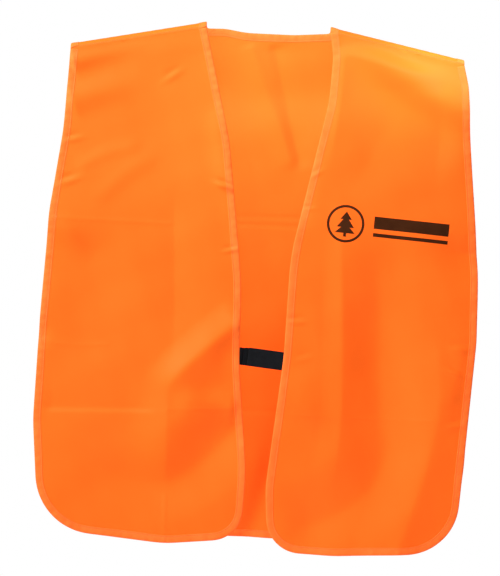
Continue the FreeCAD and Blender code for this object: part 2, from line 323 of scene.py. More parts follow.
def bulge(x, z, across, tall, height, turn=0.0):
    """A soft rounded swelling, or a hollow where height is negative."""
    cos, sin = math.cos(math.radians(turn)), math.sin(math.radians(turn))

    def at(px, pz):
        u = ((px - x) * cos + (pz - z) * sin) / across
        w = ((pz - z) * cos - (px - x) * sin) / tall
        return height * np.exp(-(u * u + w * w))

    return at


def ripple(degrees, length, height, phase):
    """A slow wave across the cloth."""
    kx = 2 * math.pi * math.cos(math.radians(degrees)) / length
    kz = 2 * math.pi * math.sin(math.radians(degrees)) / length
    return lambda x, z: height * np.sin(kx * x + kz * z + phase)


def pucker(x, z, length, height, turn=0.0):
    """A short pinch with a hollow beside it."""
    side = math.radians(turn + 90)
    return [
        bulge(x, z, length, length * 0.28, height, turn),
        bulge(x + math.cos(side) * length * 0.5, z + math.sin(side) * length * 0.5,
              length * 0.8, length * 0.25, -height * 0.7, turn),
    ]


RIPPLES = [
    ripple(8, 190, 0.9, 0.4),
    ripple(-22, 130, 0.4, 1.9),
    ripple(74, 240, 0.9, 2.6),
    ripple(35, 88, 0.2, 0.9),
    ripple(-64, 61, 0.14, 4.1),
    ripple(17, 37, 0.06, 2.2),
]


def pressed(points, height=0.6):
    """The line that folding for the pack leaves."""
    return crease(points, height, PRESSED_WIDTH, ends=(0.06, 0.06))


LEFT_FOLDS = [
    fold([(106, -200), (115, -307), (122, -450), (125, -555), (113, -652)], 4.0, (24, 34), (86, 60),
         ends=(0.4, 0.25)),
    fold([(108, -20), (104, -120), (90, -215)], 3.5, 16, 90, ends=(0.1, 0.5)),
    fold([(160, -250), (168, -420), (176, -540), (184, -612), (154, -652), (104, -684), (45, -704)],
         -7.0, (90, 60), (56, 60), ends=(0.35, 0.1), edge=SOFT),
    fold([(30, -510), (80, -530), (126, -552)], 5.0, 36, (56, 90), ends=(0.0, 0.7), edge=3.0),
    fold([(318, -310), (282, -307), (222, -283)], -10.0, 46, 60, ends=(0, 0.8)),
    crease([(126, 6), (166, -48), (222, -86), (290, -112)], 13.0, 27, ends=(0.15, 0)),
    fold([(236, -50), (242, -135), (238, -225)], -6.0, 125, 34, ends=(0.2, 0.4), edge=6.0),
    fold([(246, -390), (258, -470), (258, -540), (238, -625), (206, -730)], 7.0, 60, 62, ends=(0.35, 0),
         edge=5.0),
    fold([(182, -112), (150, -180), (123, -240)], -2.0, 34, 60, ends=(0.4, 0.5), edge=6.0),
    fold([(296, -425), (280, -470), (268, -530)], 1.3, 22, 20, ends=(0.2, 0.3), edge=3.0),
    crease([(56, -120), (64, -190), (48, -290)], -3.0, 14, ends=(0.3, 0.3)),
    pressed([(44, -538), (160, -541), (300, -538)], 0.35),
    pressed([(60, -279), (200, -283), (296, -280)], 0.2),
    *pucker(74, -206, 11, 1.1, 30),
    *pucker(68, -254, 9, 0.9, 5),
    *pucker(56, -411, 12, 1.2, 0),
    *pucker(66, -462, 14, 0.9, 12),
    *pucker(286, -440, 16, 1.2, -5),
    *pucker(276, -472, 14, 1.0, -20),
    *pucker(282, -545, 15, 1.0, 8),
]
RIGHT_FOLDS = [
    fold([(-118, -480), (-117, -524), (-116, -590), (-114, -660)], 5.0, 60, (90, 52), ends=(0.4, 0.35)),
    fold([(-122, -522), (-104, -488), (-66, -452), (-10, -402)], 7.5, 50, 36, ends=(0.25, 0.15), edge=4.0),
    fold([(-112, -522), (-70, -528), (-18, -532)], 2.6, 46, 24, ends=(0.3, 0.15), edge=4.0),
    fold([(-122, -215), (-120, -280), (-114, -380), (-112, -490)], -3.4, 70, 56, ends=(0.25, 0.3)),
    fold([(-262, -592), (-180, -634), (-118, -646), (-62, -608), (-8, -540)],
         -6.5, 52, 62, ends=(0.5, 0.1), edge=SOFT),
    crease([(-276, -58), (-215, -36), (-150, -2)], 6.5, 19, ends=(0.05, 0.3)),
    crease([(-276, -122), (-225, -100), (-150, -92)], 4.0, 20, ends=(0.1, 0.6)),
    fold([(-318, -276), (-262, -296), (-226, -338)], 6.0, 30, 50, ends=(0, 0.6), edge=5.0),
    fold([(-292, -543), (-200, -540), (-122, -538)], -1.6, 6, 75, ends=(0.1, 0.2)),
    crease([(-68, -110), (-52, -190), (-42, -245)], 3.0, 15, ends=(0.3, 0.2)),
    bulge(-290, -392, 45, 55, 3.0),
    pressed([(-300, -452), (-250, -456), (-196, -452)], 0.3),
    pressed([(-115, -655), (-113, -724)], 0.4),
    pressed([(-296, -281), (-200, -281), (-116, -283)], 0.5),
    pressed([(-122, -538), (-70, -536), (-20, -533)], 0.4),
    *pucker(-129, -78, 14, 1.0, 35),
    *pucker(-54, -227, 11, 3.0, -20),
    *pucker(-40, -316, 9, 1.5, 10),
    *pucker(-264, -172, 13, 1.2, 12),
    *pucker(-266, -230, 15, 1.2, 20),
    crease([(-262, -215), (-215, -185), (-165, -176)], 1.0, 10),
    crease([(-235, -262), (-180, -205), (-140, -190)], 1.1, 13),
]
BACK_FOLDS = [
    fold([(-24, -24), (8, -110), (46, -202)], -1.5, 30, 14, ends=(0.05, 0.1)),
    fold([(8, -24), (30, -110), (55, -202)], 1.8, 14, 34, ends=(0.05, 0.1)),
    pressed([(-40, -268), (60, -266)]),
    pressed([(-296, -281), (0, -277), (296, -281)], 0.7),
    pressed([(-296, -540), (0, -537), (296, -540)]),
    fold([(-116, -60), (-116, -400), (-115, -716)], 7.0, 90, 70, ends=(0.2, 0.2)),
    fold([(118, -60), (121, -400), (120, -716)], -7.0, 80, 100, ends=(0.2, 0.2)),
    bulge(-190, -170, 85, 90, 5.0, 10),
    bulge(190, -190, 80, 110, 5.0, -8),
    crease([(-262, -60), (-150, -95), (0, -100), (150, -92), (262, -58)], 4.0, 34, ends=(0.1, 0.1)),
    fold([(-235, -400), (-205, -560), (-225, -735)], 8.0, 60, 50, ends=(0.5, 0)),
    crease([(-70, -480), (-60, -600), (-85, -735)], 6.0, 26, ends=(0.6, 0)),
    crease([(44, -540), (28, -640), (-2, -726)], 5.0, 18, ends=(0.5, 0)),
    fold([(226, -420), (206, -560), (236, -735)], 8.0, 50, 60, ends=(0.5, 0)),
    fold([(316, -330), (270, -318), (205, -300)], -9.0, 46, 56, ends=(0, 0.7)),
    fold([(-316, -325), (-270, -335), (-205, -360)], -8.0, 50, 46, ends=(0, 0.7)),
    *pucker(-285, -440, 14, 2.0, 5),
    *pucker(288, -445, 14, 2.2, -5),
    *pucker(-120, -60, 16, 2.2, 40),
    *pucker(140, -250, 14, 2.0, -30),
]
# Where the tabs and the straps are sewn on, the cloth lies flat: x, z and reach
STILL_SPOTS = [(41, -463, 26), (-20, -462, 26), (304, -443, 16), (-299, -443, 16)]
SEAM_CALM = 30.0
EDGE_RIPPLE = 0.14
EDGE_REACH = 11.0
EDGE_THINNING = 6
NORMAL_STEP = 0.4


def edge_wave(run, start):
    """The slight gathering that sewing leaves along an edge."""
    return np.sin(run / 1.9 + start) + 0.8 * np.sin(run / 3.1 + 2) * np.sin(run / 23.0)


class Sheet:
    """One piece of cloth: which way it faces, its folds, and the runs of its bound edges."""

    def __init__(self, side, folds, edges):
        self.side = side
        self.folds = folds
        self.edges = edges

    def relief(self, x, v):
        height = sum(part(x, v) for part in self.folds + RIPPLES)
        seam = seam_height(x)
        height = height * smooth((seam - v) / SEAM_CALM)
        for spot_x, spot_z, reach in STILL_SPOTS:
            height = height * (1 - np.exp(-((x - spot_x) ** 2 + (v - spot_z) ** 2) / reach ** 2))
        for number, edge in enumerate(self.edges):
            away, place = from_line(x, v, edge[::EDGE_THINNING])
            wave = edge_wave(place * lengths_along(edge)[-1], number)
            height = height + EDGE_RIPPLE * wave * np.exp(-np.abs(away) / EDGE_REACH)
        return height

    def middle(self, x, v):
        """Points on the middle of the cloth, in the frame, in millimetres."""
        height = self.relief(x, v)
        seam = seam_height(x)
        over = np.maximum(v - seam, 0.0) * (np.abs(x) > OVER_FROM)
        turn = over / FOLD_RADIUS * FOLD_COS
        lean = np.maximum(LEAN_START - v, 0.0) * LEAN
        radius = FOLD_RADIUS + lean + height
        y = radius * np.cos(turn) * self.side
        z = np.minimum(v, seam) + radius / FOLD_COS * np.sin(turn)
        z = np.where(np.abs(x) > OVER_FROM, z, v)
        return np.stack([x, y, z], axis=-1)

    def hung(self, x, v, lift):
        """Points a distance off the middle of the cloth, positive outwards."""
        step = NORMAL_STEP
        x = np.asarray(x, float)
        v = np.asarray(v, float)
        across = self.middle(x + step, v) - self.middle(x - step, v)
        up = self.middle(x, v + step) - self.middle(x, v - step)
        normal = np.cross(across, up) * -self.side
        normal /= np.linalg.norm(normal, axis=-1, keepdims=True)
        return self.middle(x, v) + normal * np.asarray(lift, float)[..., None]


# --- meshes

def placed(name, data):
    """A new object in the scene."""
    made = bpy.data.objects.new(name, data)
    bpy.context.scene.collection.objects.link(made)
    return made


def new_object(name, points, faces):
    """A smooth-shaded mesh object from points in millimetres."""
    mesh = bpy.data.meshes.new(name)
    mesh.from_pydata((np.asarray(points) * MM).tolist(), [], faces)
    mesh.validate()
    mesh.update()
    mesh.polygons.foreach_set("use_smooth", [True] * len(mesh.polygons))
    return placed(name, mesh)


def inside_loop(points, loop):
    """Which points lie inside a closed outline."""
    result = np.zeros(len(points), bool)
    ends = np.roll(loop, -1, axis=0)
    for (x0, z0), (x1, z1) in zip(loop, ends):
        if z0 == z1:
            continue
        crosses = (z0 > points[:, 1]) != (z1 > points[:, 1])
        result ^= crosses & (points[:, 0] < (x1 - x0) * (points[:, 1] - z0) / (z1 - z0) + x0)
    return result


def inside(points, loops):
    """Which points lie inside the first outline and outside the others."""
    result = inside_loop(points, loops[0])
    for hole in loops[1:]:
        result &= ~inside_loop(points, hole)
    return result


# Grid points nearer to an outline than this share of a step are left out
CLEAR_SHARE = 0.55
SAME_POINT = 1e-6


def filled(loops, step):
    """Points and triangles that fill closed outlines; loops after the first are holes."""
    low = loops[0].min(0)
    high = loops[0].max(0)
    columns = np.arange(low[0], high[0], step)
    rows = np.arange(low[1], high[1], step)
    grid = np.stack(np.meshgrid(columns, rows), axis=-1)
    grid[1::2, :, 0] += step / 2
    grid = grid.reshape(-1, 2)
    grid = grid[inside(grid, loops)]
    for loop in loops:
        closed = np.vstack([loop, loop[:1]])
        away, _ = from_line(grid[:, 0], grid[:, 1], closed)
        grid = grid[np.abs(away) > step * CLEAR_SHARE]
    edges = []
    count = 0
    for loop in loops:
        edges += [(count + i, count + (i + 1) % len(loop)) for i in range(len(loop))]
        count += len(loop)
    every = np.vstack(loops + [grid])
    found = delaunay_2d_cdt([Vector(p) for p in every.tolist()], edges, [], 1, SAME_POINT, False)
    points = np.array([tuple(p) for p in found[0]])
    triangles = np.array(found[2], int)
    return points, triangles[inside(points[triangles].mean(1), loops)]


SHARP_EDGE = math.radians(60)


def slab(name, sheet, loops, step, low=-CLOTH_HALF, high=CLOTH_HALF):
    """A closed thin layer of a sheet, between two distances off the cloth's middle."""
    points, triangles = filled(loops, step)
    flat = points[triangles]
    area = np.cross(flat[:, 1] - flat[:, 0], flat[:, 2] - flat[:, 0])
    outwards = (area > 0) == (sheet.side < 0)
    triangles = np.where(outwards[:, None], triangles, triangles[:, ::-1])
    count = len(points)
    top, bottom = (sheet.hung(*points.T, np.full(count, lift)) for lift in (high, low))
    directed = dict.fromkeys(edge for a, b, c in triangles.tolist() for edge in ((a, b), (b, c), (c, a)))
    rim = [(b, a, a + count, b + count) for a, b in directed if (b, a) not in directed]
    faces = triangles.tolist() + (triangles[:, ::-1] + count).tolist() + rim
    made = new_object(name, np.vstack([top, bottom]), faces)
    made.data.set_sharp_from_angle(angle=SHARP_EDGE)
    return made


def tangents(run):
    """The direction of a run at each of its points."""
    along = np.gradient(run, axis=0)
    return along / np.linalg.norm(along, axis=1, keepdims=True)


def left_of(run):
    """The normal to the left of a flat run at each of its points."""
    along = tangents(run)
    return np.stack([-along[:, 1], along[:, 0]], axis=1)


def tape_profile():
    """The folded tape's closed section: distance in from the cloth's edge, and lift."""
    face = [(9.7, 0.42), (9.9, 0.62), (9.4, 0.80), (8.7, 0.74), (8.0, 0.50), (7.2, 0.70),
             (5.5, 0.84), (3.0, 0.86), (1.2, 0.82), (0.2, 0.68), (-0.3, 0.45), (-0.6, 0.0)]
    lining = [(9.2, -0.33), (6.0, -0.34), (3.0, -0.34), (0.3, -0.33), (-0.15, -0.22)]
    far_face = [(a, -lift) for a, lift in reversed(face[:-1])]
    far_lining = [(a, -lift) for a, lift in reversed(lining)]
    return face + far_face + lining + far_lining


def tube_faces(base, rings, sides):
    """The faces of a closed tube whose points are rings, one after another."""
    faces = []
    for i in range(rings - 1):
        row = base + i * sides
        for k in range(sides):
            n = (k + 1) % sides
            faces.append((row + k, row + n, row + sides + n, row + sides + k))
    last = base + (rings - 1) * sides
    faces.append(tuple(base + k for k in range(sides))[::-1])
    faces.append(tuple(last + k for k in range(sides)))
    return faces


def outward_faces(made):
    """Turns a closed mesh's faces to look outwards."""
    work = bmesh.new()
    work.from_mesh(made.data)
    bmesh.ops.recalc_face_normals(work, faces=work.faces)
    work.to_mesh(made.data)
    work.free()
    return made


def swept(name, rings):
    """A closed tube through rings of points."""
    count, sides = rings.shape[:2]
    return outward_faces(new_object(name, rings.reshape(-1, 3), tube_faces(0, count, sides)))


def tape(name, sheet, run, inward):
    """Folded binding along a run of the sheet's edge, a little uneven as sewn tape is."""
    run = evenly(run, TAPE_STEP)
    normal = left_of(run) * inward
    along = lengths_along(run)
    thicker = 0.05 * np.sin(along / 1.9) + 0.05 * np.sin(along / 3.3 + 1) + 0.04 * np.sin(along / 7.1)
    wider = 0.25 * np.sin(along / 41.0) + 0.18 * np.sin(along / 17.0 + 2)
    rings = []
    for a, lift in tape_profile():
        on_inner_part = a > 5
        on_face = 1 < a < 7
        reach = a + (wider if on_inner_part else 0)
        swell = 1 + thicker * (2.2 if on_face else 0.8)
        rings.append(sheet.hung(*(run + normal * np.reshape(reach, (-1, 1))).T, lift * swell))
    return swept(name, np.stack(rings, axis=1))


STITCH_RINGS = ((-1.0, 0.35), (-0.72, 0.85), (0.0, 1.0), (0.72, 0.85), (1.0, 0.35))
STITCH_SIDES = 6
THREAD_RADIUS = 0.32
THREAD_FLATNESS = 1.15
STITCH_SAG = 0.12
STITCH_START = 0.12


def stitch_mesh(name, starts, ends, outs):
    """Small rounded stitches between pairs of points, pressed into what they lie on."""
    points = []
    faces = []
    for a, b, out in zip(starts, ends, outs):
        middle = (a + b) / 2
        half = (b - a) / 2
        length = np.linalg.norm(half)
        axis = half / length
        side = np.cross(axis, out)
        side /= np.linalg.norm(side)
        up = np.cross(side, axis)
        faces += tube_faces(len(points), len(STITCH_RINGS), STITCH_SIDES)
        for place, size in STITCH_RINGS:
            for k in range(STITCH_SIDES):
                angle = 2 * math.pi * k / STITCH_SIDES
                offset = side * math.cos(angle) * THREAD_FLATNESS + up * math.sin(angle)
                sag = -STITCH_SAG * place ** 2
                points.append(middle + half * place + up * sag + offset * THREAD_RADIUS * size)
    return outward_faces(new_object(name, points, faces))


def stitches(name, sheet, run, lift, faces=(1, -1)):
    """A row of stitches along a flat run, on one or both faces of a sheet."""
    along = lengths_along(run)
    count = int(along[-1] / STITCH_PITCH)
    first = (np.arange(count) + STITCH_START) * along[-1] / count
    last = first + STITCH_LENGTH

    def on_sheet(at, out):
        x, v = (np.interp(at, along, run[:, k]) for k in (0, 1))
        return sheet.hung(x, v, np.full(count, out))

    starts = []
    ends = []
    outs = []
    for face in faces:
        middle = (first + last) / 2
        starts += list(on_sheet(first, lift * face))
        ends += list(on_sheet(last, lift * face))
        outs += list(on_sheet(middle, lift * face + face) - on_sheet(middle, lift * face))
    return stitch_mesh(name, starts, ends, outs)


# --- materials

def material(name):
    made = bpy.data.materials.new(name)
    made.use_nodes = True
    nodes = made.node_tree.nodes
    return made, nodes, made.node_tree.links, nodes["Principled BSDF"]


def colour_spread(nodes, links, shader, dark, light, scale):
    """Lets the base colour wander between two colours."""
    where = nodes.new("ShaderNodeTexCoord")
    noise = nodes.new("ShaderNodeTexNoise")
    noise.inputs["Scale"].default_value = scale
    noise.inputs["Detail"].default_value = 4.0
    ramp = nodes.new("ShaderNodeValToRGB")
    for stop, place, colour in zip(ramp.color_ramp.elements, (0.3, 0.7), (dark, light)):
        stop.position = place
        stop.color = (*colour, 1)
    links.new(where.outputs["Object"], noise.inputs["Vector"])
    links.new(noise.outputs["Fac"], ramp.inputs["Fac"])
    links.new(ramp.outputs["Color"], shader.inputs["Base Color"])
    return where


# A wave texture of scale 1 runs through this many radians in a metre
WAVE_RADIANS = 20
WEAVE_DEPTH = 0.12


def woven_bump(nodes, links, shader, where, threads_per_mm, strength):
    """Crossing threads as fine bands both ways."""
    both = nodes.new("ShaderNodeMath")
    both.operation = "MAXIMUM"
    for number, direction in enumerate("XZ"):
        wave = nodes.new("ShaderNodeTexWave")
        wave.wave_type = "BANDS"
        wave.bands_direction = direction
        wave.inputs["Scale"].default_value = threads_per_mm / MM / WAVE_RADIANS * 2 * math.pi
        wave.inputs["Distortion"].default_value = 0.6
        wave.inputs["Detail"].default_value = 1.0
        links.new(where.outputs["Object"], wave.inputs["Vector"])
        links.new(wave.outputs["Fac"], both.inputs[number])
    bump = nodes.new("ShaderNodeBump")
    bump.inputs["Strength"].default_value = strength
    bump.inputs["Distance"].default_value = WEAVE_DEPTH * MM
    links.new(both.outputs[0], bump.inputs["Height"])
    links.new(bump.outputs["Normal"], shader.inputs["Normal"])


def cloth_material(name, dark, light, roughness, sheen, threads_per_mm, strength=0.35, scale=7.0,
                   glow=None, gloss=0.12):
    made, nodes, links, shader = material(name)
    where = colour_spread(nodes, links, shader, dark, light, scale)
    woven_bump(nodes, links, shader, where, threads_per_mm, strength)
    shader.inputs["Roughness"].default_value = roughness
    shader.inputs["Specular IOR Level"].default_value = gloss
    # A steady painted glow, the same in light and in shade
    if glow:
        shader.inputs["Emission Color"].default_value = (*glow, 1)
        shader.inputs["Emission Strength"].default_value = PAINTED_GLOW
    shader.inputs["Sheen Weight"].default_value = sheen
    shader.inputs["Sheen Roughness"].default_value = 0.45
    shader.inputs["Sheen Tint"].default_value = (*light, 1)
    return made


# Blaze orange dye fluoresces; that is painted here as a steady glow, the same in light and in shade, which
# keeps the orange cloth, tape, thread and elastic bright in shade
PAINTED_GLOW = 0.16
ORANGE = cloth_material("orange_cloth", (0.92, 0.116, 0.0055), (0.96, 0.130, 0.008), 0.58, 0.03, 2.2,
                        glow=(1.0, 0.10, 0.006))
TAPE = cloth_material("binding_tape", (0.93, 0.132, 0.016), (0.96, 0.156, 0.024), 0.64, 0.04, 1.6,
                      scale=60.0, glow=(1.0, 0.11, 0.012))
THREAD_ORANGE = cloth_material("orange_thread", (0.92, 0.12, 0.022), (0.97, 0.16, 0.035), 0.5, 0.1, 4.0,
                               scale=300.0, glow=(1.0, 0.11, 0.02))
ELASTIC = cloth_material("orange_elastic", (0.90, 0.115, 0.012), (0.95, 0.15, 0.025), 0.6, 0.1, 1.2,
                         scale=40.0, glow=(1.0, 0.10, 0.012))
WEBBING = cloth_material("black_webbing", (0.0018, 0.0022, 0.0034), (0.0042, 0.0048, 0.0066), 0.7, 0.0, 1.4,
                         0.6, 90.0)
LOOP_PILE = cloth_material("loop_pile", (0.0012, 0.0012, 0.0016), (0.003, 0.003, 0.0036), 0.9, 0.0, 1.0,
                           0.8, 400.0)
THREAD_BLACK = cloth_material("black_thread", (0.006, 0.006, 0.007), (0.014, 0.014, 0.015), 0.5, 0.05,
                              4.0, scale=300.0)
HOOKS = cloth_material("hook_plastic", (0.006, 0.006, 0.007), (0.012, 0.012, 0.013), 0.38, 0.0, 3.0,
                       0.1, 200.0, gloss=0.4)
INK = cloth_material("print_ink", (0.040, 0.010, 0.002), (0.058, 0.016, 0.004), 0.6, 0.0, 2.2, 0.3, 40.0,
                     gloss=0.05)


def finish_piece(made, look, slot_name, *nodes):
    made.data.materials.clear()
    made.data.materials.append(look)
    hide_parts(*nodes)


# --- the two fronts


def blend_front(made, hand_name):
    """Bakes a front piece's placement into its points; the fold line's inward direction is worked out but
    not used.
    """
    found = joint(hand_name + "_front_open")
    axis = Vector(found["axis"]).normalized()
    inward = axis.cross(Vector((0, 1, 0))).normalized()
    if inward.x * HANDS[hand_name] > 0:
        inward = -inward
    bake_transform(made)


def inward_sign(run, centre):
    """Which side of a run the cloth's middle is on: 1 on its left."""
    return 1.0 if ((centre - run) * left_of(run)).sum(1).mean() > 0 else -1.0


# How far stitches lie off the middle of the cloth, on tape and on bare cloth
ON_TAPE = 0.62
ON_CLOTH = 0.25


def bound_edge(name, sheet, run, middle, binding_nodes, thread_nodes):
    """The tape around an edge of a sheet, and the row of stitches through it."""
    inward = inward_sign(run, middle)
    binding = tape(name + "_tape", sheet, run, inward)
    finish_piece(binding, TAPE, "binding_tape", *binding_nodes)
    line = evenly(run, TAPE_STEP)
    line += left_of(line) * inward * STITCH_INSET
    row = stitches(name + "_tape_stitches", sheet, line, ON_TAPE)
    finish_piece(row, THREAD_ORANGE, "thread", *thread_nodes)
    return binding, row


def build_front(hand_name):
    name = hand_name + "_front"
    hand = HANDS[hand_name]
    loop = joined_front(hand_name)
    neck, tip = seam_corners(loop, hand)
    edge = eased(evenly(run_between(loop, neck, tip, True), EDGE_STEP), EDGE_EASING)
    sheet = Sheet(FRONT, LEFT_FOLDS if hand > 0 else RIGHT_FOLDS, [edge])
    seam = evenly(np.vstack([edge[-1:], edge[:1]]), EDGE_STEP)
    loop = np.vstack([edge, seam[1:-1]])
    cloth = slab(name + "_cloth", sheet, [loop], FRONT_STEP)
    finish_piece(cloth, ORANGE, "orange_cloth", name + "_flap", name + "_side_panel")
    bindings = [name + "_edge_binding", name + "_side_binding"]
    threads = [name + "_edge_thread", name + "_side_thread"]
    binding, row = bound_edge(name, sheet, edge, loop.mean(0), bindings, threads)
    for piece in (cloth, binding, row):
        blend_front(piece, hand_name)
    return sheet


SHEETS = {name: build_front(name) for name in HANDS}


# --- back and shoulders

# The row of stitches along a shoulder seam: how far in from the cloth's end and from the tape
SEAM_ROW_IN = 1.8
SEAM_ROW_END = TAPE_WIDTH + 1
SEAM_ROW_POINTS = 120


def over_shoulder(run):
    """A run of the back's edge, carried on over the shoulder fold to the seam in front."""
    start = run[:1] + [[0.0, OVER_LENGTH]]
    end = run[-1:] + [[0.0, OVER_LENGTH]]
    return evenly(np.vstack([start, run, end]), EDGE_STEP)


def back_runs():
    """The bound edges of the back: round by the hem, and round the neck."""
    left_neck, left_tip = seam_corners(BACK_LOOP, 1)
    right_neck, right_tip = seam_corners(BACK_LOOP, -1)
    hem = evenly(run_between(BACK_LOOP, left_tip, right_tip, True), EDGE_STEP)
    neck = evenly(run_between(BACK_LOOP, right_neck, left_neck, False), EDGE_STEP)
    return over_shoulder(eased(hem, EDGE_EASING)), eased(over_shoulder(neck), 1)


def build_back():
    hem, neck = back_runs()
    sheet = Sheet(BACK, BACK_FOLDS, [hem, neck])
    left_seam = evenly(np.vstack([neck[-1:], hem[:1]]), EDGE_STEP)
    right_seam = evenly(np.vstack([hem[-1:], neck[:1]]), EDGE_STEP)
    loop = np.vstack([hem, right_seam[1:-1], neck, left_seam[1:-1]])
    cloth = slab("back_cloth", sheet, [loop], BACK_STEP)
    finish_piece(cloth, ORANGE, "orange_cloth",
                 "back_panel", "left_shoulder_fold", "right_shoulder_fold")
    middle = loop.mean(0)
    pieces = []
    for name, run in (("back_neck", neck), ("back_outer", hem)):
        pieces += bound_edge(name, sheet, run, middle, [name + "_binding"], [name + "_binding_thread"])
    for name, hand in HANDS.items():
        x = np.linspace(NECK_CORNER[0] + SEAM_ROW_END, TIP_CORNER[0] - SEAM_ROW_END, SEAM_ROW_POINTS) * hand
        seam_run = np.stack([x, seam_height(x) + OVER_LENGTH - SEAM_ROW_IN], axis=1)
        row = stitches(name + "_shoulder_seam_stitches", sheet, seam_run, ON_CLOTH, faces=(1,))
        finish_piece(row, THREAD_ORANGE, "thread", name + "_shoulder_seam_thread")
        pieces.append(row)
    # These run over the shoulder folds; their placement is baked into their points
    for piece in [cloth] + pieces:
        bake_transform(piece)
    return sheet


SHEETS["back"] = build_back()


# --- chest print

PRINT_STEP = 1.5
PRINT_THICK = 0.12
PRINT_LAYER = (PRINT_STEP, CLOTH_HALF + PRINT_THICK, CLOTH_HALF + 2 * PRINT_THICK)


def closed_evenly(loop, step):
    pieces = []
    for a, b in zip(loop, np.roll(loop, -1, axis=0)):
        count = max(1, int(np.linalg.norm(b - a) / step))
        pieces += [a + (b - a) * i / count for i in range(count)]
    return np.array(pieces)


def build_prints():
    sheet = SHEETS["left"]
    ring_out, ring_in, tree = [closed_evenly(p, PRINT_STEP) for p in node_loops("chest_print_badge", FRONT)]
    ring = slab("print_ring", sheet, [ring_out, ring_in], *PRINT_LAYER)
    emblem = slab("print_tree", sheet, [tree], *PRINT_LAYER)
    for made in (ring, emblem):
        finish_piece(made, INK, "print_ink", "chest_print_badge")
        blend_front(made, "left")
    for number, loop in enumerate(node_loops("chest_print_bars", FRONT)):
        loops = [closed_evenly(loop, PRINT_STEP)]
        bar = slab("print_bar_" + str(number + 1), sheet, loops, *PRINT_LAYER)
        finish_piece(bar, INK, "print_ink", "chest_print_bars")
        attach(bar, "fronts")


build_prints()


# --- bands of webbing and elastic

# A band's section: points across a rib, how thick its very edge is left, how deep the furrows
# between ribs go, and how much the crossing threads raise them, as shares of the thickness
RIB_POINTS = 6
EDGE_LEFT = 0.15
FURROW = 0.14
CROSSING = 0.35


def band(name, path, across, out, width, thick, ribs, weave):
    """A woven band: a path of points, swept with ribs along it and threads across them.

    The path's points are in millimetres and lie on the band's middle, at the middle of its
    width. Across is the direction of its width, and out the side of the path it faces.
    """
    path = np.asarray(path, float)
    normal = np.cross(across, tangents(path))
    normal *= np.sign(normal[0] @ out)
    along = lengths_along(path)
    places = np.linspace(-1, 1, ribs * RIB_POINTS + 1)
    edge = np.clip((1 - np.abs(places)) * width / thick, 0, 1)
    rim = np.sqrt(1 - (1 - edge) ** 2) * (1 - EDGE_LEFT) + EDGE_LEFT
    rib = 0.5 - 0.5 * np.cos((places + 1) * math.pi * ribs)
    rings = []
    for face, order in ((1, slice(None)), (-1, slice(None, None, -1))):
        for k in range(len(places))[order]:
            crossing = np.sin(along * 2 * math.pi / weave + math.pi * int((places[k] + 1) * ribs / 2))
            height = thick / 2 * rim[k] * (1 - FURROW + FURROW * rib[k] * (1 + CROSSING * crossing))
            aside = np.multiply(across, places[k] * width / 2)
            rings.append(path + aside + normal * (face * height)[:, None])
    return swept(name, np.stack(rings, axis=1))


# Keeps the side direction of a thread from vanishing where the thread is straight
NUDGE = [0.01, 0.02, 0.03]
TINY = 1e-9


def fine_tubes(name, paths, radius, sides=5):
    """Many small round threads in one mesh."""
    points = []
    faces = []
    for path in paths:
        path = np.asarray(path, float)
        forward = tangents(path)
        aside = np.cross(forward, path[-1] - path[0] + NUDGE)
        aside /= np.linalg.norm(aside, axis=1, keepdims=True) + TINY
        upward = np.cross(aside, forward)
        faces += tube_faces(len(points), len(path), sides)
        for i in range(len(path)):
            for k in range(sides):
                angle = 2 * math.pi * k / sides
                points.append(path[i] + (aside[i] * math.cos(angle) + upward[i] * math.sin(angle)) * radius)
    return outward_faces(new_object(name, points, faces))


def joined(name, parts):
    """Several meshes as one piece."""
    points = []
    faces = []
    for part in parts:
        base = len(points)
        points += [tuple(v.co / MM) for v in part.data.vertices]
        faces += [tuple(base + v for v in face.vertices) for face in part.data.polygons]
        bpy.data.objects.remove(part)
    return new_object(name, points, faces)


# --- closure tabs

def tab_axes():
    """The closure's directions: along it to the wearer's left, up its width, and outwards."""
    across = Vector(joint("hook_tab_peel")["axis"]).normalized()
    lean = math.atan2(across.y, across.z)
    tilt = math.asin(across.x)
    along = Vector((math.cos(tilt), -math.sin(tilt) * math.sin(lean), -math.sin(tilt) * math.cos(lean)))
    return np.array([along, across, along.cross(across)])


TAB_AXES = tab_axes()
TAB_STEP = 0.55

# Ribs across a band, and the length of one crossing of its threads
TAB_WEAVE = (9, 1.5)
GROUND_WEAVE = (14, 1.1)
STRAP_WEAVE = (8, 2.4)

# The loop tab rises over this length where it leaves its sewn end, and its top is cut lower
LOOP_TAB_RISE = 5.0
LOOP_TAB_TRIM = 1.4

# The box of stitches on a tab: how far in from the edges and from the inner face, and its pitch
BOX_IN = 0.35
BOX_DEEP = 0.2
BOX_PITCH = 2.6

# One hook as (aside, height) points in mm and in shares of its height, and the hooks' margins
HOOK_SHAPE = [(0, 0), (0, 0.55), (0.14, 0.9), (0.38, 0.95), (0.5, 0.68)]
HOOK_PITCH = 1.55
HOOK_RADIUS = 0.11
HOOK_MARGIN_LOW = [1.0, 1.2]
HOOK_MARGIN_HIGH = [0.8, 1.0]

# The loops of the nap: half widths in mm, heights as shares of the room there is
PILE_LOOPS = 900
PILE_SEED = 7
PILE_POINTS = 6
PILE_WIDE = (0.3, 0.55)
PILE_TALL = (0.55, 0.98)
PILE_RADIUS = 0.07
PILE_MARGIN = 0.7


def tab_box(*nodes):
    """The low and high corners of some tab nodes, measured along the closure's directions."""
    local = np.vstack([node_points(node) for node in nodes]) @ TAB_AXES.T
    return local.min(0), local.max(0)


def tab_path(low, high, runs):
    """A path along the closure through (place along it, distance out) points."""
    line = evenly(flowing(runs, 2), TAB_STEP)
    return np.insert(line, 1, (low[1] + high[1]) / 2, axis=1) @ TAB_AXES


def blend_tab(made):
    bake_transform(made)


